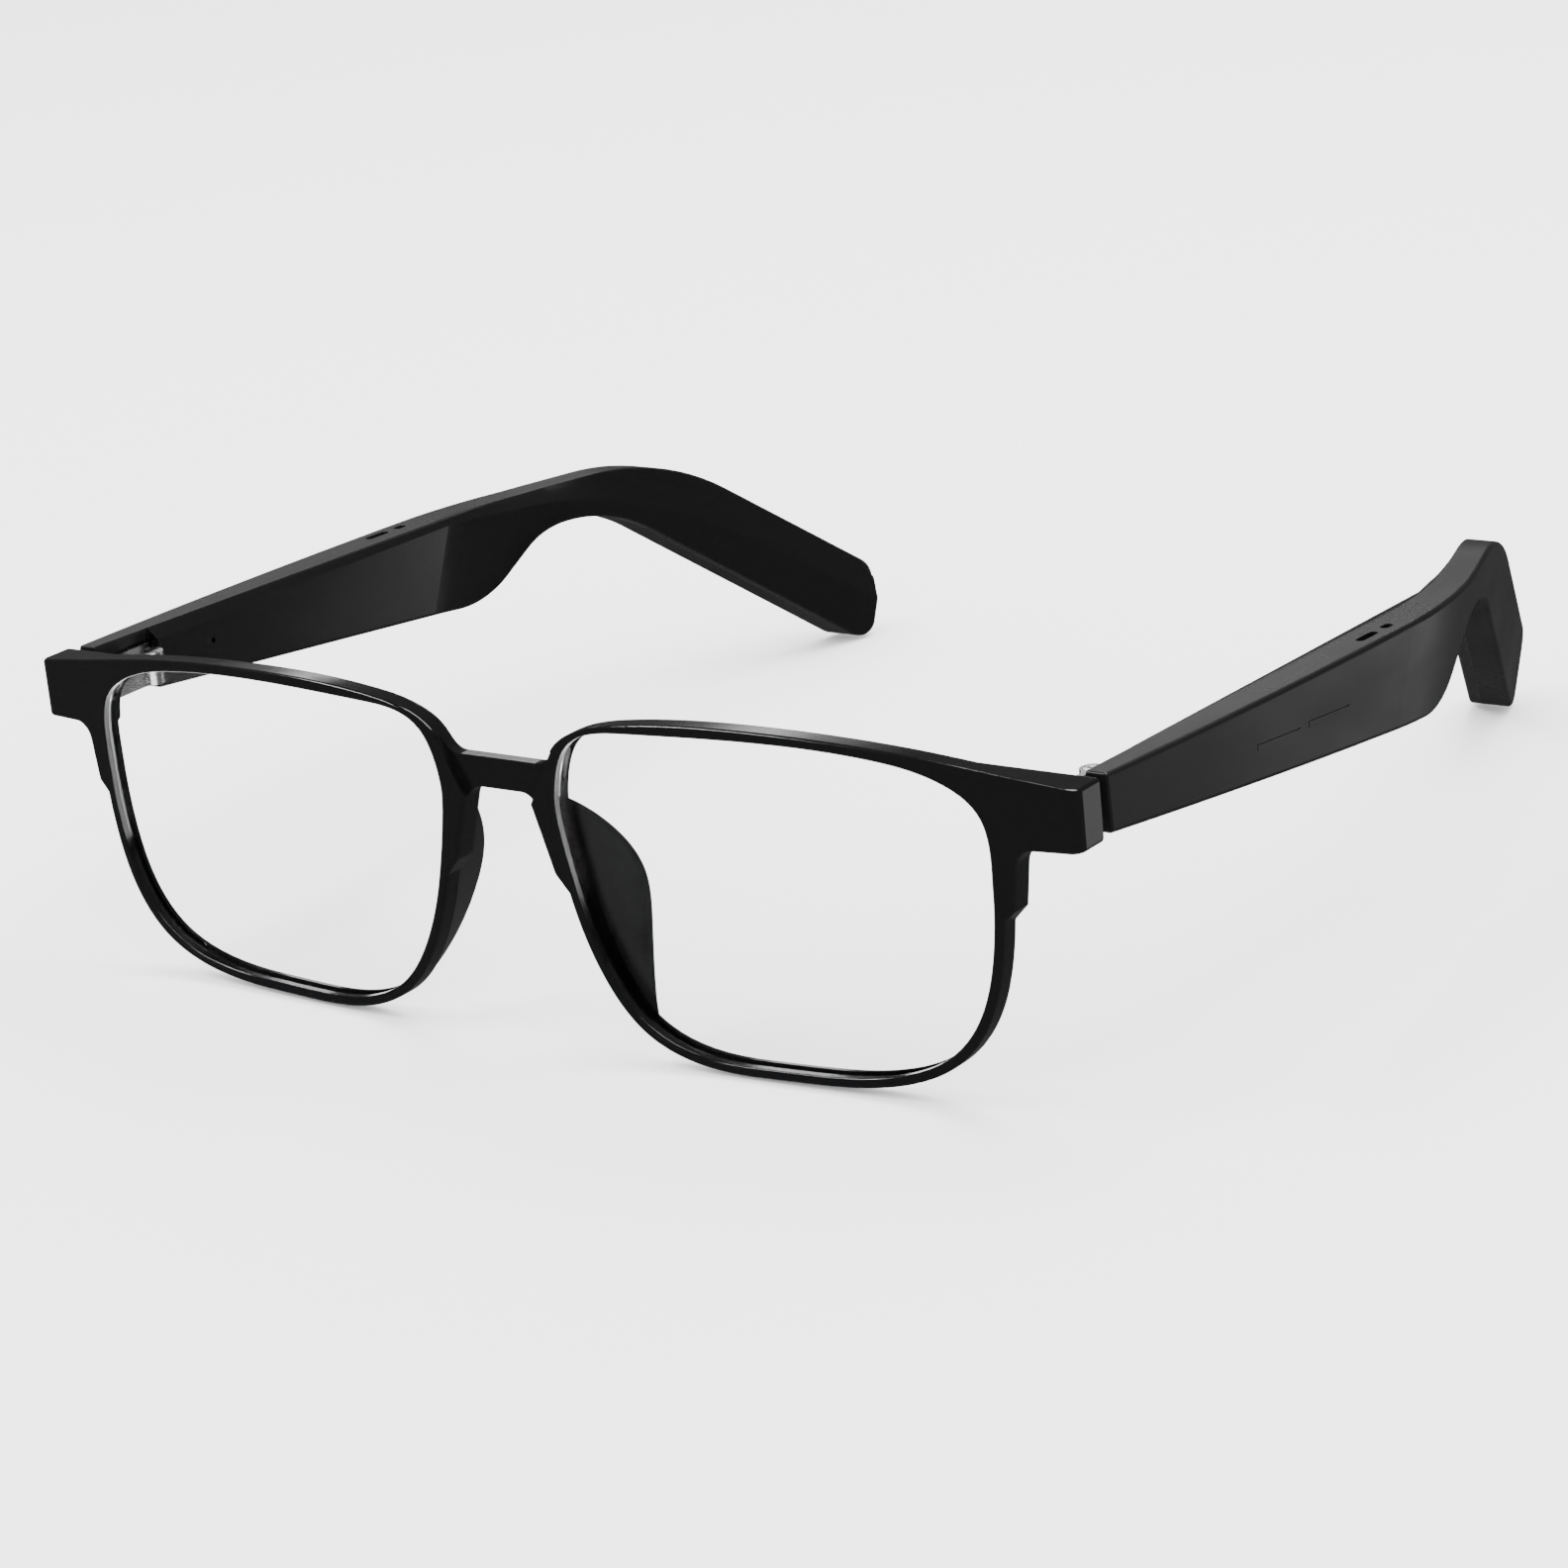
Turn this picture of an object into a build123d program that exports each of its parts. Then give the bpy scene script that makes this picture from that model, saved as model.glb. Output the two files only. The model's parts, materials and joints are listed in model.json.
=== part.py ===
from build123d import *

import os
from math import cos, degrees, radians, sin, sqrt, tan

# Smart glasses: one-piece moulded front, clear lenses and two folding electronic temples.
#
# Axes: +X is the wearer's left, -Y is forward and +Z is up. The shapes are drawn about the
# symmetry plane, with y = 0 where the front surface of the rims would cross it; on export the
# origin is moved to the middle of the bridge's front face. All lengths are millimetres.
# Every left-hand piece is modelled once and mirrored for the right-hand side.

os.makedirs("parts", exist_ok=True)

# ---------------------------------------------------------------- driving dimensions
# Front frame
HALF_WIDTH = 72.5            # middle of the bridge to the outer side of an endpiece
BROW_TOP = 23.5              # highest point of the rim
LENS_TOP = 22.3              # highest point of the lens opening
LENS_BOTTOM = -14.95         # lowest point of the lens opening
FACE_RADIUS = 539.0          # the front is a slice of a cylinder this large
RIM_DEPTH = 2.9
RIM_WIDTH = 1.15             # width of the rim seen from the front, below the lens
RIM_BACK_EDGE = 0.6          # rounding of the rim's outer edge at the back
ENDPIECE_BACK = 10.2         # back face of the endpiece, where the temple butts
SHOULDER = (57.0, 5.3)       # (x, y) inside the rim where the sloping back begins
ENDPIECE_TOP = 20.0
ENDPIECE_BOTTOM = 13.1
BRIDGE_TOP = 16.9
BRIDGE_BOTTOM = 13.3
BRIDGE_RECESS = 1.0          # bridge face behind the rim faces
GROOVE_FRONT = 0.95          # front lip before the lens groove
GROOVE_WIDTH = 1.45
GROOVE_REACH = 0.4           # how far the groove runs into the rim
LENS_CLEARANCE = 0.05
PAD_THICKNESS = 1.8
PAD_SPLAY = 0.3              # sideways run of a nose pad per millimetre of depth
PAD_EDGE = 0.6               # rounding of the edge that rests on the nose

# Temple
TEMPLE_FRONT = 11.4          # front face of the temple
FRONT_EDGE = 0.3             # rounding of the outer edges of the front face
COVER_FRONT = 20.5           # front end of the inner cover
WALL = 1.2
CAVITY_FRONT = 23.0
CAVITY_BACK = 89.0
MICROPHONE = (30.0, 15.4)    # (y, z) of the microphone hole
SLOT_X = 72.3                # middle of the sound slots
SLOT_WIDTH = 1.1
SLOTS = ((66.9, 4.1), (71.5, 1.9))             # (y, length) of each sound slot
CONTACTS = ((71.3, 29.0), (71.3, 33.0))        # (x, y) of each charging contact
CONTACT_RADIUS = 0.8
BEND_LEAN = radians(24.0)    # backward lean of the axis about which the tip is bent inward
BEND_ANGLE = radians(17.9)   # inward bend of the tip
# Plan lines of the temple: (x ahead of the bend, corner of the bend, bend radius, bow radius)
COVER_LINE = (68.0, 79.2, 68.0)
SEAM_LINE = (69.7, 79.6, 68.0)
OUTER_LINE = (74.5, 77.7, 74.0, 900.0)

# Hinge
HINGE_X = 66.5
HINGE_Y = 17.6
BARREL_RADIUS = 1.4
BARREL_BOTTOM = 14.0
BARREL_TOP = 17.9
KNUCKLE = (BARREL_TOP - BARREL_BOTTOM) / 3
KNUCKLE_GAP = 0.05
PIN_RADIUS = 0.5
PIN_CLEARANCE = 0.05
PIN_HEAD_RADIUS = 0.95
PIN_HEAD = 0.5
LEAF_THICKNESS = 0.8
ENDPIECE_WALL_X = 67.0       # face of the endpiece that carries the front leaf
SHELL_WALL_X = 70.2          # face of the shell that carries the temple leaf
SCREW_RADIUS = 0.45
SCREW_LENGTH = 2.2
SCREW_HEAD_RADIUS = 0.85
SCREW_HEAD = 0.4
FRONT_SCREWS = ((8.8, 15.0), (8.8, 17.0))      # (y, z) of each screw
TEMPLE_SCREWS = ((13.6, 15.0), (13.6, 17.0))
HINGE_ROOF = 18.4            # the recesses for the hinge end here, below the top faces

BACKWARD = (0, 1, 0)
OUTWARD = (1, 0, 0)
FAR = 60.0                   # reach of a cutting solid beyond the pieces


def corner_near(sketch, across, up):
    """The sketch corner nearest to a point."""
    return sketch.vertices().sort_by_distance(Vector(across, up, 0))[0]


def edges_between(first, second):
    """Edges where a face of one group meets a face of another."""
    others = second.edges()
    return ShapeList(e for e in first.edges() if any(e.is_same(other) for other in others))


def facing(part, direction, least=0.6):
    """Faces of a part that look roughly along a direction."""
    return ShapeList(
        f for f in part.faces() if f.normal_at(f.center()).dot(Vector(*direction)) > least)


def back_edges(part, bottom, top):
    """Outer edges of the faces that look backward, between two heights."""
    behind = facing(part, BACKWARD)
    beside = ShapeList(face for face in part.faces() if face not in behind)
    edges = edges_between(behind, beside)
    return ShapeList(edge for edge in edges if bottom < edge.center().Z < top)


def opening_edges(part, direction):
    """Edges of the openings in the faces that look along a direction."""
    wires = [wire for face in facing(part, direction) for wire in face.inner_wires()]
    return ShapeList(edge for wire in wires for edge in wire.edges())


def box_between(x, y, z, mode=Mode.ADD):
    """A box given by its two limits along each axis."""
    centre = ((x[0] + x[1]) / 2, (y[0] + y[1]) / 2, (z[0] + z[1]) / 2)
    with Locations(centre):
        Box(x[1] - x[0], y[1] - y[0], z[1] - z[0], mode=mode)


# ---------------------------------------------------------------- front frame
def face_y(x):
    """Depth of the front surface at the distance x from the middle."""
    return FACE_RADIUS - sqrt(FACE_RADIUS**2 - x**2)


def curved_slab(front, back, reach=80.0):
    """A sheet parallel to the front surface, between two depths behind it."""
    with BuildPart() as slab:
        with BuildSketch(Plane.XY.offset(-FAR)):
            with BuildLine():
                near = ThreePointArc(
                    (-reach, face_y(reach) + front), (0, front), (reach, face_y(reach) + front))
                far = ThreePointArc(
                    (-reach, face_y(reach) + back), (0, back), (reach, face_y(reach) + back))
                Line(near @ 0, far @ 0)
                Line(near @ 1, far @ 1)
            make_face()
        extrude(amount=2 * FAR)
    return slab.part


def grown_spline(points, start, end, growth):
    """Draws a spline through points that are first moved to its left by the growth."""
    ends = {"tangents": [start, end], "tangent_scalars": [0.6, 0.6]}
    curve = Spline(*points, **ends, mode=Mode.PRIVATE)
    moved = []
    for point in points:
        along = curve.tangent_at(curve.param_at_point(Vector(*point)))
        moved.append((point[0] - along.Y * growth, point[1] + along.X * growth))
    return moved, ends


def lens_outline(growth=0.0):
    """Outline of the left lens opening: a rounded trapezium with gently bowed sides."""
    nasal_side = (8.0, 12.5)
    outer_side = (62.15, 9.0)
    upper, upper_ends = grown_spline(
        (nasal_side, (9.8, 18.9), (18.4, 21.8), (34.0, LENS_TOP), (49.0, 21.6), (57.3, 19.6),
         (61.4, 16.1), outer_side), (0, 1), (0, -1), growth)
    lower, lower_ends = grown_spline(
        (outer_side, (60.2, -4.3), (55.4, -11.0), (47.0, -14.2), (34.5, LENS_BOTTOM),
         (24.0, -14.5), (17.4, -11.7), (12.4, -5.0), (9.4, 4.0), nasal_side),
        (0, -1), (0, 1), growth)
    with BuildSketch(Plane.XZ) as outline:
        with BuildLine():
            Spline(*upper, **upper_ends)
            Spline(*lower, **lower_ends)
        make_face()
    return outline.sketch


def front_outline():
    """Outline of the whole front: rims, bridge, endpieces and the two small ledges."""
    ledge_bottom = (9.3, 1.6)
    ledge_top = (6.9, 4.5)
    bridge_corner = (4.3, BRIDGE_BOTTOM)
    block_corner = (65.2, ENDPIECE_BOTTOM)
    notch = (62.4, 4.0)
    whole_rim = lens_outline(RIM_WIDTH)
    with BuildSketch(Plane.XZ) as lower_rim:
        add(whole_rim)
        Polygon((0, -20), (80, -20), (80, 5.9), (0, 2.5), align=None, mode=Mode.INTERSECT)
    with BuildSketch(Plane.XZ) as outline:
        with BuildLine():
            brow = Spline(
                (5.2, BRIDGE_TOP), (8.3, 19.2), (11.7, 21.4), (18.0, 22.75), (34.0, BROW_TOP),
                (54.0, 22.4), (64.0, 21.1), tangents=[(1, 0), (1, -0.13)])
            Line((0, BRIDGE_TOP), brow @ 0)
            Polyline(
                brow @ 1, (HALF_WIDTH, ENDPIECE_TOP), (HALF_WIDTH, ENDPIECE_BOTTOM),
                block_corner, (64.4, 6.2), notch, ledge_bottom, ledge_top,
                bridge_corner, (0, BRIDGE_BOTTOM), (0, BRIDGE_TOP))
        make_face()
        fillet(corner_near(outline, *block_corner), radius=2.2)
        fillet(corner_near(outline, *bridge_corner), radius=2.0)
        fillet(corner_near(outline, *ledge_top), radius=1.5)
        add(lower_rim.sketch)
        mirror(about=Plane.YZ)
    return outline.sketch


def endpiece_block():
    """The deep part of the left endpiece, which reaches back to the temple."""
    with BuildPart() as block:
        with BuildSketch(Plane.XY.offset(ENDPIECE_BOTTOM)):
            Polygon(
                SHOULDER, (HALF_WIDTH, ENDPIECE_BACK), (HALF_WIDTH, face_y(HALF_WIDTH) + 0.5),
                (SHOULDER[0], face_y(SHOULDER[0]) + 0.5), align=None)
        extrude(amount=FAR)
    return block.part


def lens_disc(growth, front, back):
    """A curved sheet with the outline of the left lens, between two depths."""
    with BuildPart() as disc:
        extrude(lens_outline(growth), amount=12, dir=BACKWARD)
        add(curved_slab(front, back), mode=Mode.INTERSECT)
    return disc.part


def nose_pad():
    """A leaf that runs back and outward from the nasal side of the left rim."""
    top = 12.8
    bottom = -12.6
    root = RIM_DEPTH - 0.15
    with BuildPart() as pad:
        with BuildSketch(Plane.XZ.offset(-root)) as band:
            with BuildLine():
                near = Spline((6.9, top), (8.3, 4.3), (11.3, -5.0), (16.8, bottom))
                add(near.moved(Location((PAD_THICKNESS, 0, 0))))
                Line(near @ 0, near @ 0 + Vector(PAD_THICKNESS, 0))
                Line(near @ 1, near @ 1 + Vector(PAD_THICKNESS, 0))
            make_face()
        extrude(band.sketch, amount=12, dir=(PAD_SPLAY, 1, 0))
        with BuildSketch(Plane.YZ) as leaf:
            with BuildLine():
                edge = Spline(
                    (root, top), (6.9, 8.8), (9.8, 2.5), (8.3, -3.5), (5.2, -9.1),
                    (root, bottom))
                Line(edge @ 0, edge @ 1)
            make_face()
        extrude(leaf.sketch, amount=FAR, dir=OUTWARD, mode=Mode.INTERSECT)
        rests_on_nose = pad.faces().sort_by(Axis.Y)[-1].edges()
        fillet(rests_on_nose.filter_by_position(Axis.Y, root + 0.1, FAR), radius=PAD_EDGE)
    return pad.part


def side_pilots(x, places):
    """Drills screw pilot holes outward from a wall at x."""
    with BuildSketch(Plane.YZ.offset(x)) as drill:
        with Locations(*places):
            Circle(SCREW_RADIUS)
    return drill.sketch


with BuildPart() as front_envelope:
    add(curved_slab(0, RIM_DEPTH))
    add(endpiece_block())
    mirror(endpiece_block(), about=Plane.YZ)

with BuildPart() as lens_cut:
    extrude(lens_outline(), amount=20, dir=BACKWARD)

with BuildPart() as groove:
    add(lens_disc(GROOVE_REACH, GROOVE_FRONT, GROOVE_FRONT + GROOVE_WIDTH))

with BuildPart() as hinge_recess:
    box_between((55, ENDPIECE_WALL_X), (7.2, 12), (ENDPIECE_BOTTOM - 1, HINGE_ROOF))
    extrude(side_pilots(ENDPIECE_WALL_X, FRONT_SCREWS), amount=SCREW_LENGTH, dir=OUTWARD)

with BuildPart() as front_frame:
    extrude(front_outline(), amount=ENDPIECE_BACK + 5, dir=BACKWARD)
    add(front_envelope.part, mode=Mode.INTERSECT)
    upright = front_frame.edges().filter_by(Axis.Z).sort_by(Axis.Y)
    fillet(upright.filter_by_position(Axis.Y, 0, 5), radius=1.5)
    fillet(front_frame.faces().sort_by(Axis.Y)[0].edges(), radius=0.4)
    for bottom, top in ((16.5, FAR), (-FAR, 2.5)):
        fillet(back_edges(front_frame, bottom, top), radius=RIM_BACK_EDGE)
    # openings and lens grooves
    add(lens_cut.part, mode=Mode.SUBTRACT)
    mirror(lens_cut.part, about=Plane.YZ, mode=Mode.SUBTRACT)
    fillet(opening_edges(front_frame, (0, -1, 0)), radius=0.2)
    add(groove.part, mode=Mode.SUBTRACT)
    mirror(groove.part, about=Plane.YZ, mode=Mode.SUBTRACT)
    # the bridge face lies behind the rim faces
    with BuildSketch(Plane((0, -1, 0), x_dir=(-1, 0, 0), z_dir=BACKWARD)):
        Polygon((8.6, 19.0), (4.2, 11.0), (-4.2, 11.0), (-8.6, 19.0), align=None)
    extrude(amount=1 + BRIDGE_RECESS, taper=10, mode=Mode.SUBTRACT)
    # nose pads
    add(nose_pad())
    mirror(nose_pad(), about=Plane.YZ)
    # hinge recesses
    add(hinge_recess.part, mode=Mode.SUBTRACT)
    mirror(hinge_recess.part, about=Plane.YZ, mode=Mode.SUBTRACT)

with BuildPart() as lens:
    add(lens_disc(
        GROOVE_REACH - LENS_CLEARANCE, GROOVE_FRONT, GROOVE_FRONT + GROOVE_WIDTH - LENS_CLEARANCE))


# ---------------------------------------------------------------- hinge
def leaf_screws(x, places):
    """Slotted screws driven outward, with the underside of their heads at x."""
    with BuildPart() as screws:
        with BuildSketch(Plane.YZ.offset(x)):
            with Locations(*places):
                Circle(SCREW_RADIUS)
        extrude(amount=SCREW_LENGTH)
        with BuildSketch(Plane.YZ.offset(x - SCREW_HEAD)) as heads:
            with Locations(*places):
                Circle(SCREW_HEAD_RADIUS)
        extrude(amount=SCREW_HEAD)
        with BuildSketch(Plane.YZ.offset(x - SCREW_HEAD)):
            with Locations(*places):
                Rectangle(2 * SCREW_HEAD_RADIUS, 0.25)
        extrude(amount=SCREW_HEAD / 2, mode=Mode.SUBTRACT)
    return screws.part


def barrel(bottom, top, radius, mode=Mode.ADD):
    """A cylinder on the hinge axis."""
    with Locations((HINGE_X, HINGE_Y, bottom)):
        Cylinder(radius, top - bottom, align=(Align.CENTER, Align.CENTER, Align.MIN), mode=mode)


MIDDLE_BOTTOM = BARREL_BOTTOM + KNUCKLE
MIDDLE_TOP = BARREL_TOP - KNUCKLE
FRONT_LEAF_X = ENDPIECE_WALL_X - LEAF_THICKNESS
TEMPLE_LEAF_X = SHELL_WALL_X - LEAF_THICKNESS
BORE_RADIUS = PIN_RADIUS + PIN_CLEARANCE

with BuildPart() as hinge_front_leaf:
    box_between((FRONT_LEAF_X, ENDPIECE_WALL_X), (7.6, HINGE_Y), (BARREL_BOTTOM, BARREL_TOP))
    barrel(BARREL_BOTTOM, BARREL_TOP, BARREL_RADIUS)
    barrel(MIDDLE_BOTTOM, MIDDLE_TOP, BARREL_RADIUS + 0.2, Mode.SUBTRACT)
    barrel(BARREL_BOTTOM, BARREL_TOP, BORE_RADIUS, Mode.SUBTRACT)
    barrel(BARREL_TOP - PIN_HEAD, BARREL_TOP, PIN_HEAD_RADIUS + PIN_CLEARANCE, Mode.SUBTRACT)
    extrude(side_pilots(FRONT_LEAF_X, FRONT_SCREWS), amount=LEAF_THICKNESS, dir=OUTWARD,
            mode=Mode.SUBTRACT)

with BuildPart() as hinge_temple_leaf:
    box_between((TEMPLE_LEAF_X, SHELL_WALL_X), (12.5, 20.3), (BARREL_BOTTOM, BARREL_TOP))
    knuckle = (MIDDLE_BOTTOM + KNUCKLE_GAP, MIDDLE_TOP - KNUCKLE_GAP)
    box_between((HINGE_X, SHELL_WALL_X), (16.9, 18.3), knuckle)
    barrel(*knuckle, BARREL_RADIUS)
    barrel(*knuckle, BORE_RADIUS, Mode.SUBTRACT)
    extrude(side_pilots(TEMPLE_LEAF_X, TEMPLE_SCREWS), amount=LEAF_THICKNESS, dir=OUTWARD,
            mode=Mode.SUBTRACT)

with BuildPart() as hinge_pin_screw:
    barrel(BARREL_BOTTOM + 0.1, BARREL_TOP - PIN_HEAD, PIN_RADIUS)
    barrel(BARREL_TOP - PIN_HEAD, BARREL_TOP, PIN_HEAD_RADIUS)
    box_between(
        (HINGE_X - 2, HINGE_X + 2), (HINGE_Y - 0.15, HINGE_Y + 0.15),
        (BARREL_TOP - PIN_HEAD / 2, BARREL_TOP), Mode.SUBTRACT)

with BuildPart() as hinge_front_screws:
    add(leaf_screws(FRONT_LEAF_X, FRONT_SCREWS))

with BuildPart() as hinge_temple_screws:
    add(leaf_screws(TEMPLE_LEAF_X, TEMPLE_SCREWS))


# ---------------------------------------------------------------- temple
# The tip is bent inward about an axis that leans backward. Shapes seen along that axis are
# drawn in a plan with the coordinates (x, q), where q = y - z * tan(BEND_LEAN).
LEANING = (0, sin(BEND_LEAN), cos(BEND_LEAN))
PLAN_START = -20.0
TIP_REACH = 100.0


def plan_line(x, corner, radius, bow_radius=None):
    """Draws a plan line that runs back, bends inward and runs on; gives its two ends."""
    bend_start = corner - radius * tan(BEND_ANGLE / 2)
    run = bend_start - PLAN_START
    if bow_radius:
        bow = run**2 / (2 * bow_radius)
        ahead = ThreePointArc(
            (x - bow, PLAN_START), (x - bow / 4, PLAN_START + run / 2), (x, bend_start))
    else:
        ahead = Line((x, PLAN_START), (x, bend_start))
    bend = JernArc(ahead @ 1, (0, 1), radius, degrees(BEND_ANGLE))
    tip = PolarLine(bend @ 1, TIP_REACH, 90 + degrees(BEND_ANGLE))
    return ahead @ 0, tip @ 1


def bent_x(line, y, z):
    """The x of a straight-sided plan line at a height and a depth of the temple."""
    x, corner, radius = line
    into_bend = y - z * tan(BEND_LEAN) - corner + radius * tan(BEND_ANGLE / 2)
    bend_length = radius * sin(BEND_ANGLE)
    on_arc = min(max(into_bend, 0), bend_length)
    beyond = max(into_bend - bend_length, 0)
    return x - radius + sqrt(radius**2 - on_arc**2) - beyond * tan(BEND_ANGLE)


def inset(line, amount):
    """A plan line moved inward."""
    return (line[0] - amount, *line[1:])


def between_lines(near, far):
    """A leaning prism between two plan lines."""
    with BuildPart() as prism:
        with BuildSketch(Plane.XY):
            with BuildLine():
                near_start, near_end = plan_line(*near)
                far_start, far_end = plan_line(*far)
                Line(near_start, far_start)
                Line(near_end, far_end)
            make_face()
        extrude(amount=FAR, dir=LEANING, both=True)
    return prism.part


def temple_profile(margin=0.0):
    """Side view of the temple: a tapering arm, an arched step and a drooping tip."""
    corners = (
        # (y, z, radius)
        (TEMPLE_FRONT, 19.9, 0),
        (92.0, 17.4, 60),
        (113.8, 17.4, 31),
        (142.9, -5.4, 3),
        (138.6, -15.4, 2.5),
        (103.5, 12.6, 19),
        (92.9, 12.6, 12.5),
        (81.5, 5.2, 14),
        (TEMPLE_FRONT, 13.35, 0))
    with BuildSketch(Plane.YZ) as profile:
        with BuildLine():
            Polyline(*[(y, z) for y, z, radius in corners], close=True)
        make_face()
        for y, z, radius in corners:
            if radius:
                fillet(corner_near(profile, y, z), radius=radius)
        if margin:
            offset(amount=-margin)
    return profile.sketch


def arm_top(y):
    """Height of the top edge of the temple."""
    corner_y, corner_z, radius = 113.8, 17.4, 31.0
    slope = radians(38.1)
    start = corner_y - radius * tan(slope / 2)
    end = start + radius * sin(slope)
    if y < 92:
        return corner_z + (92 - y) * 2.5 / 81
    if y < start:
        return corner_z
    if y < end:
        return corner_z - radius + sqrt(radius**2 - (y - start)**2)
    return corner_z - radius * (1 - cos(slope)) - (y - end) * tan(slope)


def cover_bevel():
    """The part cut off the top inner edge of the cover; it is deepest over the bend."""
    stations = (
        # (y, drop of the crease below the top edge), from the tip forward
        (150, 5.5), (134, 5.8), (120, 6.6),
        (116, 6.4), (112, 5.9), (108, 5.0), (104, 3.8), (100, 2.6), (95, 1.6), (88, 1.3),
        (15, 1.3))
    with BuildPart() as cutter:
        for y, drop in stations:
            top = arm_top(y)
            seam = bent_x(SEAM_LINE, y, top)
            crease = bent_x(COVER_LINE, y, top - drop)
            slope = drop / (seam - crease)
            with BuildSketch(Plane.XZ.offset(-y)):
                Polygon(
                    (seam + 1, top + slope), (crease - 1, top - drop - slope),
                    (crease - 1, top + slope), align=None)
        loft(ruled=True)
    return cutter.part


with BuildPart() as temple_blank:
    extrude(temple_profile(), amount=90, dir=OUTWARD)

with BuildPart() as temple_cavity:
    extrude(temple_profile(WALL), amount=90, dir=OUTWARD)
    box_between((0, 90), (CAVITY_FRONT, CAVITY_BACK), (-20, 20), Mode.INTERSECT)
    add(between_lines(inset(SEAM_LINE, 1), inset(OUTER_LINE, WALL)), mode=Mode.INTERSECT)

with BuildPart() as touch_marks:
    with BuildSketch(Plane.YZ):
        for back, drop in ((39.0, 0), (49.6, 0.6)):
            with BuildLine() as mark:
                Polyline(
                    (back, 13.7 - drop), (back + 0.1, 14.4 - drop), (back + 8.7, 13.6 - drop))
            trace(mark.line, line_width=0.22)
    extrude(amount=90)
    add(between_lines(inset(OUTER_LINE, 0.12), inset(OUTER_LINE, -1)), mode=Mode.INTERSECT)

with BuildPart() as sound_slots:
    for y, length in SLOTS:
        with BuildSketch(Plane.XY.offset(14)):
            with Locations((SLOT_X, y)):
                SlotOverall(length, SLOT_WIDTH, rotation=90)
        extrude(amount=8)

with BuildPart() as contact_holes:
    with BuildSketch(Plane.XY):
        with Locations(*CONTACTS):
            Circle(CONTACT_RADIUS)
    extrude(amount=14)

with BuildPart() as temple_shell:
    add(temple_blank.part)
    add(between_lines(SEAM_LINE, OUTER_LINE), mode=Mode.INTERSECT)
    outside = facing(temple_shell, OUTWARD)
    rest = facing(temple_shell, (0, 0, 1), 0.3) + facing(temple_shell, (0, 0, -1), 0.3)
    fillet(edges_between(outside, rest), radius=0.5)
    ahead = facing(temple_shell, (0, -1, 0), 0.9)
    around = facing(temple_shell, OUTWARD, 0.3) + facing(temple_shell, (0, 0, 1), 0.3)
    fillet(edges_between(ahead, around), radius=FRONT_EDGE)
    add(temple_cavity.part, mode=Mode.SUBTRACT)
    box_between((60, SHELL_WALL_X), (0, COVER_FRONT), (0, HINGE_ROOF), Mode.SUBTRACT)
    extrude(side_pilots(SHELL_WALL_X, TEMPLE_SCREWS), amount=SCREW_LENGTH, dir=OUTWARD,
            mode=Mode.SUBTRACT)
    add(touch_marks.part, mode=Mode.SUBTRACT)
    add(sound_slots.part, mode=Mode.SUBTRACT)
    add(contact_holes.part, mode=Mode.SUBTRACT)

with BuildPart() as temple_cover:
    add(temple_blank.part)
    add(between_lines(COVER_LINE, SEAM_LINE), mode=Mode.INTERSECT)
    box_between((0, 90), (0, COVER_FRONT), (-20, 30), Mode.SUBTRACT)
    add(cover_bevel(), mode=Mode.SUBTRACT)
    inside = facing(temple_cover, (-1, 0, 0), 0.7)
    fillet(edges_between(inside, facing(temple_cover, (0, 0, -1), 0.3)), radius=0.5)
    with BuildSketch(Plane.YZ):
        with Locations(MICROPHONE):
            Circle(0.35)
    extrude(amount=80, mode=Mode.SUBTRACT)


# ---------------------------------------------------------------- inside the temple
BOARD_X = (70.5, 71.1)
BOARD_Y = (24.0, 39.0)
BOARD_Z = (13.6, 17.5)
BATTERY_X = (69.9, 72.4)
BATTERY_Y = (40.5, 63.5)
BATTERY_Z = (11.6, 16.0)
SPEAKER_X = (69.9, 72.5)
SPEAKER_Y = (65.5, 77.5)
SPEAKER_Z = (8.6, 14.6)
FILM = 0.15                  # thickness of the flexible circuits
LEAD_RADIUS = 0.2


def wall_film(y, z):
    """A flexible circuit stuck to the inside of the outer wall, between two limits."""
    with BuildPart() as film:
        box_between((60, 80), y, z)
        add(between_lines(inset(OUTER_LINE, WALL + FILM), inset(OUTER_LINE, WALL)),
            mode=Mode.INTERSECT)
    return film.part


def ceiling_film(x, y, depth, thickness):
    """A sheet that follows the ceiling of the cavity at a depth below it."""
    with BuildPart() as film:
        extrude(temple_profile(WALL + depth), amount=90, dir=OUTWARD)
        extrude(temple_profile(WALL + depth + thickness), amount=90, dir=OUTWARD,
                mode=Mode.SUBTRACT)
        box_between(x, y, (14, 20), Mode.INTERSECT)
    return film.part


def lead_pair(start, end):
    """Two parallel wires between two points."""
    with BuildPart() as leads:
        for side in (-1, 1):
            shift = Vector(side * 1.5 * LEAD_RADIUS, 0, 0)
            with BuildLine() as route:
                Line(Vector(*start) + shift, Vector(*end) + shift)
            with BuildSketch(Plane(route.line @ 0, z_dir=route.line % 0)):
                Circle(LEAD_RADIUS)
            sweep(path=route.line)
    return leads.part


with BuildPart() as main_board:
    box_between(BOARD_X, BOARD_Y, BOARD_Z)

with BuildPart() as board_chips:
    box_between((BOARD_X[1], BOARD_X[1] + 0.6), (26.5, 30.5), (14.0, 16.6))
    box_between((BOARD_X[1], BOARD_X[1] + 0.5), (32.0, 34.5), (14.2, 16.4))
    box_between((BOARD_X[1], BOARD_X[1] + 0.4), (36.0, 37.6), (14.4, 16.0))

with BuildPart() as battery:
    box_between(BATTERY_X, BATTERY_Y, BATTERY_Z)
    fillet(battery.edges().filter_by(Axis.Y), radius=0.4)

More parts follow.
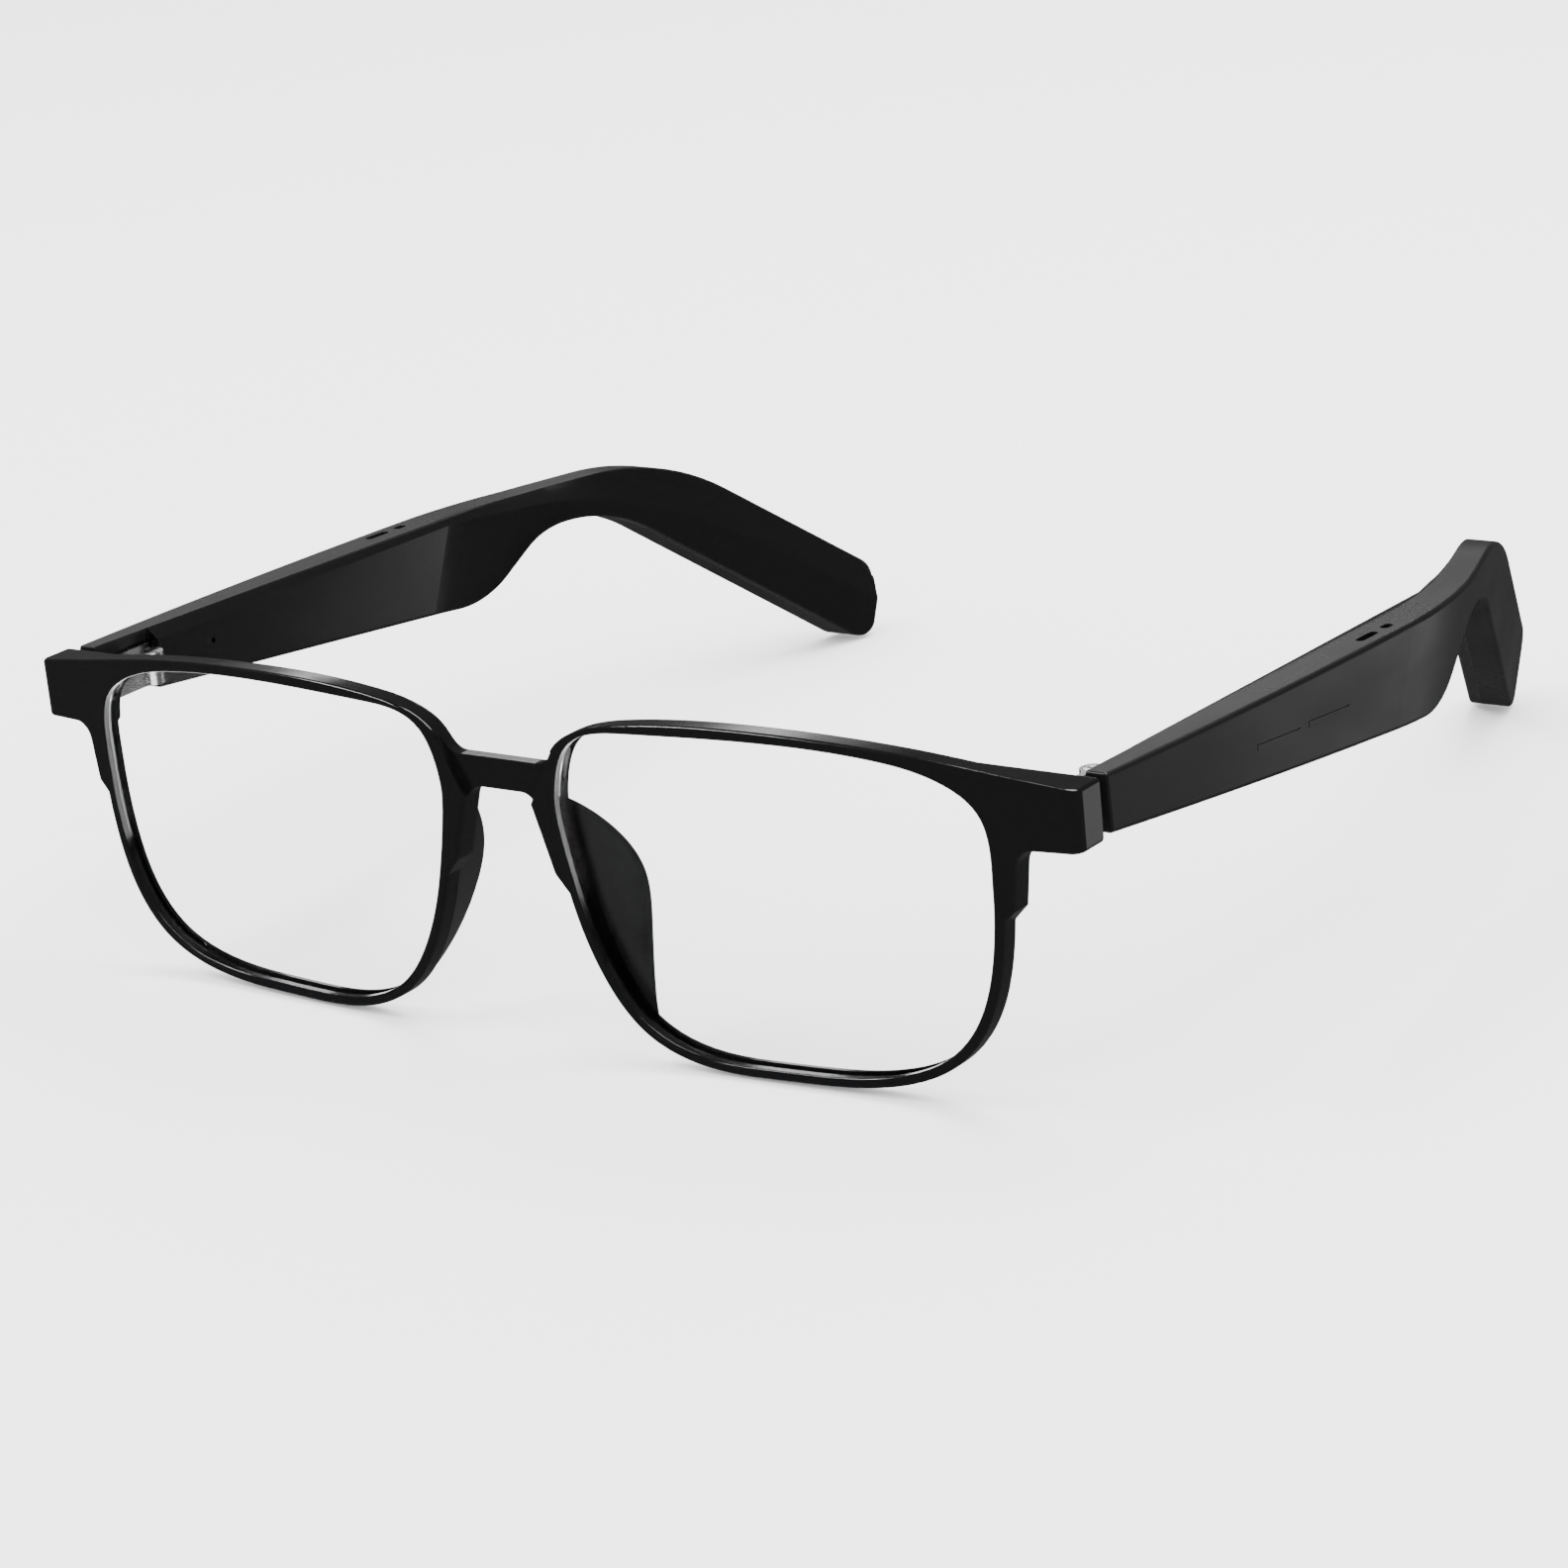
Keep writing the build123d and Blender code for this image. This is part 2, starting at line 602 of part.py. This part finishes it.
with BuildPart() as battery_leads:
    add(lead_pair((70.8, BOARD_Y[1], 14.4), (70.8, BATTERY_Y[0], 14.4)))

with BuildPart() as speaker:
    box_between(SPEAKER_X, SPEAKER_Y, SPEAKER_Z)
    fillet(speaker.edges().filter_by(Axis.X), radius=0.8)

with BuildPart() as speaker_leads:
    add(lead_pair((70.8, BOARD_Y[1], 16.9), (70.8, SPEAKER_Y[0] + 1.5, 16.3)))

with BuildPart() as speaker_mesh:
    add(ceiling_film((SLOT_X - 0.8, SLOT_X + 0.8), (64.3, 73.2), 0, FILM))

with BuildPart() as speaker_gasket:
    box_between((SLOT_X - 0.8, SLOT_X + 0.1), (68.2, 73.2), (SPEAKER_Z[1], SPEAKER_Z[1] + 1.6))

with BuildPart() as touch_sensor:
    add(wall_film((38.0, 60.0), (11.8, 15.4)))

with BuildPart() as antenna_strip:
    add(wall_film((24.0, 36.0), (15.6, 17.4)))

with BuildPart() as microphone:
    box_between((69.9, BOARD_X[0]), (MICROPHONE[0] - 1.4, MICROPHONE[0] + 1.4),
                (MICROPHONE[1] - 1, MICROPHONE[1] + 1))

with BuildPart() as mic_mesh:
    with BuildSketch(Plane.YZ.offset(SEAM_LINE[0])):
        with Locations(MICROPHONE):
            Circle(0.9)
    extrude(amount=0.2)

with BuildPart() as charge_magnet:
    box_between((70.2, 71.9), (35.2, 38.2), (11.9, 13.2))

with BuildPart() as charge_contacts:
    add(temple_blank.part)
    with BuildSketch(Plane.XY):
        with Locations(*CONTACTS):
            Circle(CONTACT_RADIUS)
    extrude(amount=13.2, mode=Mode.INTERSECT)


# ---------------------------------------------------------------- export
TO_ORIGIN = Location((0, -BRIDGE_RECESS, -(BRIDGE_TOP + BRIDGE_BOTTOM) / 2))


def export_piece(part, name):
    """Writes one piece, moved so that the origin is the middle of the bridge's front face."""
    placed = part.moved(TO_ORIGIN)
    placed.label = name
    export_step(placed, f"parts/{name}.step")


left_pieces = {
    "lens": lens,
    "hinge_front_leaf": hinge_front_leaf,
    "hinge_front_screws": hinge_front_screws,
    "hinge_pin_screw": hinge_pin_screw,
    "hinge_temple_leaf": hinge_temple_leaf,
    "hinge_temple_screws": hinge_temple_screws,
    "temple_shell": temple_shell,
    "temple_cover": temple_cover,
    "main_board": main_board,
    "board_chips": board_chips,
    "battery": battery,
    "battery_leads": battery_leads,
    "speaker": speaker,
    "speaker_leads": speaker_leads,
    "speaker_mesh": speaker_mesh,
    "speaker_gasket": speaker_gasket,
    "touch_sensor": touch_sensor,
    "antenna_strip": antenna_strip,
    "microphone": microphone,
    "mic_mesh": mic_mesh,
    "charge_magnet": charge_magnet,
    "charge_contacts": charge_contacts}

export_piece(front_frame.part, "front_frame")
for name, piece in left_pieces.items():
    export_piece(piece.part, name + "_left")
    with BuildPart() as twin:
        mirror(piece.part, about=Plane.YZ)
    export_piece(twin.part, name + "_right")
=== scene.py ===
"""Looks of the smart glasses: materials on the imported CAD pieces, a pale studio and a camera."""

import json
import math

import bpy
from mathutils import Matrix, Vector


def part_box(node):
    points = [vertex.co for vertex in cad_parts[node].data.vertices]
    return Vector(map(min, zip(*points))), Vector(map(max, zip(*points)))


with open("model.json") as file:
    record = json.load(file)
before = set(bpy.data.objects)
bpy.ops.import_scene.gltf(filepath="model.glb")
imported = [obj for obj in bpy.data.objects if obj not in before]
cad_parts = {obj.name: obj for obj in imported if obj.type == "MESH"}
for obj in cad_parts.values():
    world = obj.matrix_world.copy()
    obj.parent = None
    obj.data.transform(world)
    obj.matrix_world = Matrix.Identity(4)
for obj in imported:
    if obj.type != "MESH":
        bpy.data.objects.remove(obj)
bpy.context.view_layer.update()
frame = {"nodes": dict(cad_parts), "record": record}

# ---------------------------------------------------------------- camera
CAMERA_PLACE = Vector((0.3179, -0.3710, 0.1558))
CAMERA_AZIMUTH = math.radians(36.11)      # 0 looks along +Y
CAMERA_ELEVATION = math.radians(18.175)
CAMERA_ROLL = math.radians(-5.407)
LENS_MM = 106.97
SENSOR_MM = 36
SHIFT = (-0.0415, -0.0048)                # picture centre away from the lens axis, in widths
NEAREST = 0.01
FARTHEST = 20


def view_axes(azimuth, elevation, roll):
    """Right, up and backward directions of a camera with these angles."""
    back = Vector((
        math.sin(azimuth) * math.cos(elevation),
        -math.cos(azimuth) * math.cos(elevation),
        math.sin(elevation)))
    level = Vector((math.cos(azimuth), math.sin(azimuth), 0))
    up = back.cross(level)
    right = level * math.cos(roll) + up * math.sin(roll)
    return right, back.cross(right), back


def add_camera():
    """The camera at its fixed place, with perspective and roll."""
    data = bpy.data.cameras.new("camera")
    data.sensor_width = SENSOR_MM
    data.lens = LENS_MM
    data.shift_x, data.shift_y = SHIFT
    data.clip_start = NEAREST
    data.clip_end = FARTHEST
    camera = bpy.data.objects.new("camera", data)
    bpy.context.scene.collection.objects.link(camera)
    right, up, back = view_axes(CAMERA_AZIMUTH, CAMERA_ELEVATION, CAMERA_ROLL)
    turn = Matrix((right, up, back)).transposed()
    camera.matrix_world = Matrix.Translation(CAMERA_PLACE) @ turn.to_4x4()
    bpy.context.scene.camera = camera


# ---------------------------------------------------------------- node helpers
def new_material(name):
    """A material with one Principled shader; returns the material, its node tree and its shader."""
    material = bpy.data.materials.new(name)
    material.use_nodes = True
    tree = material.node_tree
    return material, tree, tree.nodes["Principled BSDF"]


def object_place(tree, stretch=(1, 1, 1)):
    """Object coordinates, stretched along each axis."""
    coordinates = tree.nodes.new("ShaderNodeTexCoord")
    mapping = tree.nodes.new("ShaderNodeMapping")
    mapping.inputs["Scale"].default_value = stretch
    tree.links.new(coordinates.outputs["Object"], mapping.inputs["Vector"])
    return mapping.outputs["Vector"]


def noise(tree, scale, detail=4.0, stretch=(1, 1, 1)):
    """Noise in object space, in features per metre."""
    texture = tree.nodes.new("ShaderNodeTexNoise")
    texture.inputs["Scale"].default_value = scale
    texture.inputs["Detail"].default_value = detail
    tree.links.new(object_place(tree, stretch), texture.inputs["Vector"])
    return texture.outputs["Fac"]


def remap(tree, value, low, high, start=0.3, end=0.7):
    """Maps a noise value onto a range."""
    node = tree.nodes.new("ShaderNodeMapRange")
    node.inputs["From Min"].default_value = start
    node.inputs["From Max"].default_value = end
    node.inputs["To Min"].default_value = low
    node.inputs["To Max"].default_value = high
    tree.links.new(value, node.inputs["Value"])
    return node.outputs["Result"]


# The Mix node repeats its socket names for each data type, so its colour sockets go by number.
MIX_FACTOR = 0
MIX_FIRST_COLOUR = 6
MIX_SECOND_COLOUR = 7
MIX_COLOUR_RESULT = 2


def two_colours(tree, value, first, second):
    """Mixes two colours by a value."""
    mix = tree.nodes.new("ShaderNodeMix")
    mix.data_type = "RGBA"
    mix.inputs[MIX_FIRST_COLOUR].default_value = (*first, 1)
    mix.inputs[MIX_SECOND_COLOUR].default_value = (*second, 1)
    tree.links.new(value, mix.inputs[MIX_FACTOR])
    return mix.outputs[MIX_COLOUR_RESULT]


def bump(tree, height, depth):
    """Surface relief from a height value; depth is in metres."""
    node = tree.nodes.new("ShaderNodeBump")
    node.inputs["Strength"].default_value = 1.0
    node.inputs["Distance"].default_value = depth
    tree.links.new(height, node.inputs["Height"])
    return node.outputs["Normal"]


FULL_EDGE = 0.75                          # agreement of the two normals on a sharp edge
NO_EDGE = 0.99                            # agreement of the two normals on a flat face


def painted_edge_highlight(tree, width):
    """Mask of a painted highlight: 1 on sharp edges and 0 elsewhere, from the difference to a
    rounded normal.
    """
    rounded = tree.nodes.new("ShaderNodeBevel")
    rounded.samples = 4
    rounded.inputs["Radius"].default_value = width
    true = tree.nodes.new("ShaderNodeNewGeometry")
    dot = tree.nodes.new("ShaderNodeVectorMath")
    dot.operation = "DOT_PRODUCT"
    tree.links.new(rounded.outputs["Normal"], dot.inputs[0])
    tree.links.new(true.outputs["Normal"], dot.inputs[1])
    return remap(tree, dot.outputs["Value"], 1, 0, FULL_EDGE, NO_EDGE)


# ---------------------------------------------------------------- materials
EDGE_HIGHLIGHT_WIDTH = 0.0002                       # width of the painted highlight on the edges


def moulded_plastic(name, colour, highlight_colour, rough, peel_depth):
    """Black moulded plastic: soft orange peel, faint handling marks and a paler painted highlight
    on the edges.
    """
    material, tree, shader = new_material(name)
    # the paler colour on sharp edges is a painted highlight, not wear
    edge_highlight = painted_edge_highlight(tree, EDGE_HIGHLIGHT_WIDTH)
    tree.links.new(two_colours(tree, edge_highlight, colour, highlight_colour), shader.inputs["Base Color"])
    smears = noise(tree, 70, 6, (1, 0.4, 1))
    tree.links.new(remap(tree, smears, rough * 0.75, rough * 1.35), shader.inputs["Roughness"])
    peel = noise(tree, 1400, 3)
    tree.links.new(bump(tree, peel, peel_depth), shader.inputs["Normal"])
    shader.inputs["IOR"].default_value = 1.5
    return material


THIN_LENS_IOR = 1.12                      # low, so that the sheets hardly bend the view


def clear_lens(name):
    """Clear lens with faint smears; light passes straight through for shadows."""
    material, tree, shader = new_material(name)
    shader.inputs["Base Color"].default_value = (1, 1, 1, 1)
    shader.inputs["Transmission Weight"].default_value = 1.0
    shader.inputs["IOR"].default_value = THIN_LENS_IOR
    smears = noise(tree, 90, 5, (1, 1, 0.3))
    tree.links.new(remap(tree, smears, 0.0, 0.02, 0.5, 0.8), shader.inputs["Roughness"])
    clear = tree.nodes.new("ShaderNodeBsdfTransparent")
    path = tree.nodes.new("ShaderNodeLightPath")
    mix = tree.nodes.new("ShaderNodeMixShader")
    tree.links.new(path.outputs["Is Shadow Ray"], mix.inputs["Fac"])
    tree.links.new(shader.outputs["BSDF"], mix.inputs[1])
    tree.links.new(clear.outputs["BSDF"], mix.inputs[2])
    tree.links.new(mix.outputs["Shader"], tree.nodes["Material Output"].inputs["Surface"])
    return material


def brushed_metal(name, colour, rough, stretch=(1, 1, 8)):
    """Turned or brushed metal with fine scratches."""
    material, tree, shader = new_material(name)
    darker = tuple(channel * 0.7 for channel in colour)
    scratches = noise(tree, 900, 4, stretch)
    tree.links.new(
        two_colours(tree, scratches, darker, colour), shader.inputs["Base Color"])
    shader.inputs["Metallic"].default_value = 1.0
    tree.links.new(remap(tree, scratches, rough * 0.7, rough * 1.5), shader.inputs["Roughness"])
    tree.links.new(bump(tree, scratches, 4e-6), shader.inputs["Normal"])
    return material


WIRES_PER_METRE = 6000


def woven_mesh(name, colour):
    """Fine woven wire cloth; the holes between the wires are painted near black as the shade seen
    through them.
    """
    material, tree, shader = new_material(name)
    weave = tree.nodes.new("ShaderNodeTexVoronoi")
    weave.inputs["Scale"].default_value = WIRES_PER_METRE
    weave.inputs["Randomness"].default_value = 0.0
    tree.links.new(object_place(tree), weave.inputs["Vector"])
    wires = remap(tree, weave.outputs["Distance"], 0, 1, 0.25, 0.45)
    # near-black colour in the holes is painted shade seen through the gaps
    tree.links.new(
        two_colours(tree, wires, (0.01, 0.01, 0.01), colour), shader.inputs["Base Color"])
    tree.links.new(wires, shader.inputs["Metallic"])
    shader.inputs["Roughness"].default_value = 0.35
    tree.links.new(bump(tree, wires, 2e-5), shader.inputs["Normal"])
    return material


def grained(name, colour, second_colour, rough, scale, depth, metallic=0.0, stretch=(1, 1, 1)):
    """A surface with mottled colour, roughness and relief at one scale."""
    material, tree, shader = new_material(name)
    grain = noise(tree, scale, 5, stretch)
    spread = remap(tree, grain, 0, 1)
    tree.links.new(
        two_colours(tree, spread, colour, second_colour), shader.inputs["Base Color"])
    tree.links.new(remap(tree, grain, rough * 0.75, rough * 1.25), shader.inputs["Roughness"])
    tree.links.new(bump(tree, grain, depth), shader.inputs["Normal"])
    shader.inputs["Metallic"].default_value = metallic
    return material


# Colours of the plastics: the body and, paler, the painted highlight on the edges.
BLACK = (0.0022, 0.0022, 0.0024)
EDGE_HIGHLIGHT_BLACK = (0.006, 0.006, 0.0065)
SATIN = (0.0035, 0.0035, 0.0038)
SATIN_EDGE_HIGHLIGHT = (0.012, 0.012, 0.0125)

MATERIALS = {
    "gloss_black": moulded_plastic("gloss_black", BLACK, EDGE_HIGHLIGHT_BLACK, 0.11, 1.5e-6),
    "satin_black": moulded_plastic("satin_black", SATIN, SATIN_EDGE_HIGHLIGHT, 0.3, 3e-6),
    "clear_lens": clear_lens("clear_lens"),
    "hinge_metal": brushed_metal("hinge_metal", (0.72, 0.72, 0.73), 0.25),
    "screw_metal": brushed_metal("screw_metal", (0.85, 0.85, 0.86), 0.15, (1, 1, 0.2)),
    "magnet_metal": brushed_metal("magnet_metal", (0.6, 0.6, 0.62), 0.2),
    "contact_gold": brushed_metal("contact_gold", (0.83, 0.6, 0.22), 0.2, (1, 1, 0.2)),
    "metal_mesh": woven_mesh("metal_mesh", (0.3, 0.3, 0.31)),
    "circuit_board": grained(
        "circuit_board", (0.005, 0.06, 0.02), (0.01, 0.12, 0.04), 0.3, 900, 2e-5),
    "chip_black": grained("chip_black", (0.01, 0.01, 0.01), (0.03, 0.03, 0.03), 0.5, 4000, 4e-6),
    "battery_foil": grained(
        "battery_foil", (0.45, 0.45, 0.47), (0.65, 0.65, 0.67), 0.3, 500, 2e-5, 0.9),
    "wire_insulation": grained(
        "wire_insulation", (0.35, 0.02, 0.02), (0.45, 0.03, 0.03), 0.4, 2000, 4e-6),
    "speaker_body": grained(
        "speaker_body", (0.02, 0.02, 0.022), (0.05, 0.05, 0.055), 0.45, 2500, 6e-6),
    "foam": grained("foam", (0.01, 0.01, 0.01), (0.05, 0.05, 0.05), 0.95, 5000, 8e-5),
    "flex_film": grained(
        "flex_film", (0.5, 0.25, 0.04), (0.62, 0.36, 0.08), 0.3, 700, 4e-6, 0, (1, 0.2, 1)),
}

slot_of = {row["node"]: row["material_slot"] for row in frame["record"]["subparts"]}
for name, piece in frame["nodes"].items():
    piece.data.materials.clear()
    piece.data.materials.append(MATERIALS[slot_of[name]])


# ---------------------------------------------------------------- studio
FLOOR_SIZE = 6
FLOOR_GAP = 0.0004                        # keeps the floor clear of the rims


def add_floor():
    """A pale floor that slopes from under the rims to under the tips."""
    rims_low, rims_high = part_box("front_frame")
    tip_low, tip_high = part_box("temple_shell_left")
    drop = tip_low[2] - rims_low[2]
    run = tip_high[1] - rims_low[1]
    front_line = (0, rims_low[1], rims_low[2] - FLOOR_GAP)
    bpy.ops.mesh.primitive_plane_add(size=FLOOR_SIZE, location=front_line)
    floor = bpy.context.object
    floor.name = "floor"
    floor.rotation_euler.x = math.atan2(drop, run)
    material, tree, shader = new_material("floor")
    grain = noise(tree, 300, 3)
    tree.links.new(
        two_colours(tree, grain, (0.94, 0.94, 0.94), (0.96, 0.96, 0.96)),
        shader.inputs["Base Color"])
    shader.inputs["Roughness"].default_value = 0.9
    shader.inputs["Specular IOR Level"].default_value = 0.1
    floor.data.materials.append(material)
    floor.visible_glossy = False          # the black plastic mirrors the dark studio instead
    floor.visible_shadow = False          # the side light shines up through the floor


BEHIND_LENSES = (0, 0.05, 0)


def add_softbox(name, place, size, power, target=BEHIND_LENSES):
    """A rectangular light, in watts, that faces the target."""
    data = bpy.data.lights.new(name, "AREA")
    data.shape = "RECTANGLE"
    data.size, data.size_y = size
    data.energy = power
    light = bpy.data.objects.new(name, data)
    bpy.context.scene.collection.objects.link(light)
    light.location = place
    light.rotation_euler = (Vector(target) - Vector(place)).to_track_quat("-Z", "Y").to_euler()


def middle(node):
    """Middle of a node's box."""
    low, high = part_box(node)
    return (Vector(low) + Vector(high)) / 2


def add_world(bright, mirrored):
    """White surroundings that are dimmer where a glossy surface mirrors them."""
    world = bpy.data.worlds.new("studio")
    world.use_nodes = True
    tree = world.node_tree
    background = tree.nodes["Background"]
    background.inputs["Color"].default_value = (1, 1, 1, 1)
    path = tree.nodes.new("ShaderNodeLightPath")
    strength = remap(tree, path.outputs["Is Glossy Ray"], bright, mirrored, 0, 1)
    tree.links.new(strength, background.inputs["Strength"])
    bpy.context.scene.world = world


add_camera()
add_floor()
add_world(bright=3.2, mirrored=0.12)
add_softbox("overhead", (0.1, 0.35, 0.8), (0.7, 0.35), 8)

# Three lights that the black plastic mirrors to the camera: on the rounded upper edges of the
# front, on the top faces of the temples and, from below the floor, on their outer faces.
add_softbox("edge_light", (-0.5, -0.25, 0.7), (0.5, 0.06), 4)
add_softbox("behind", (-0.8, 1.2, 0.5), (0.9, 0.06), 0.8)
add_softbox("side", (0.7, 1.3, -0.4), (0.5, 0.4), 0.55, middle("temple_shell_left"))
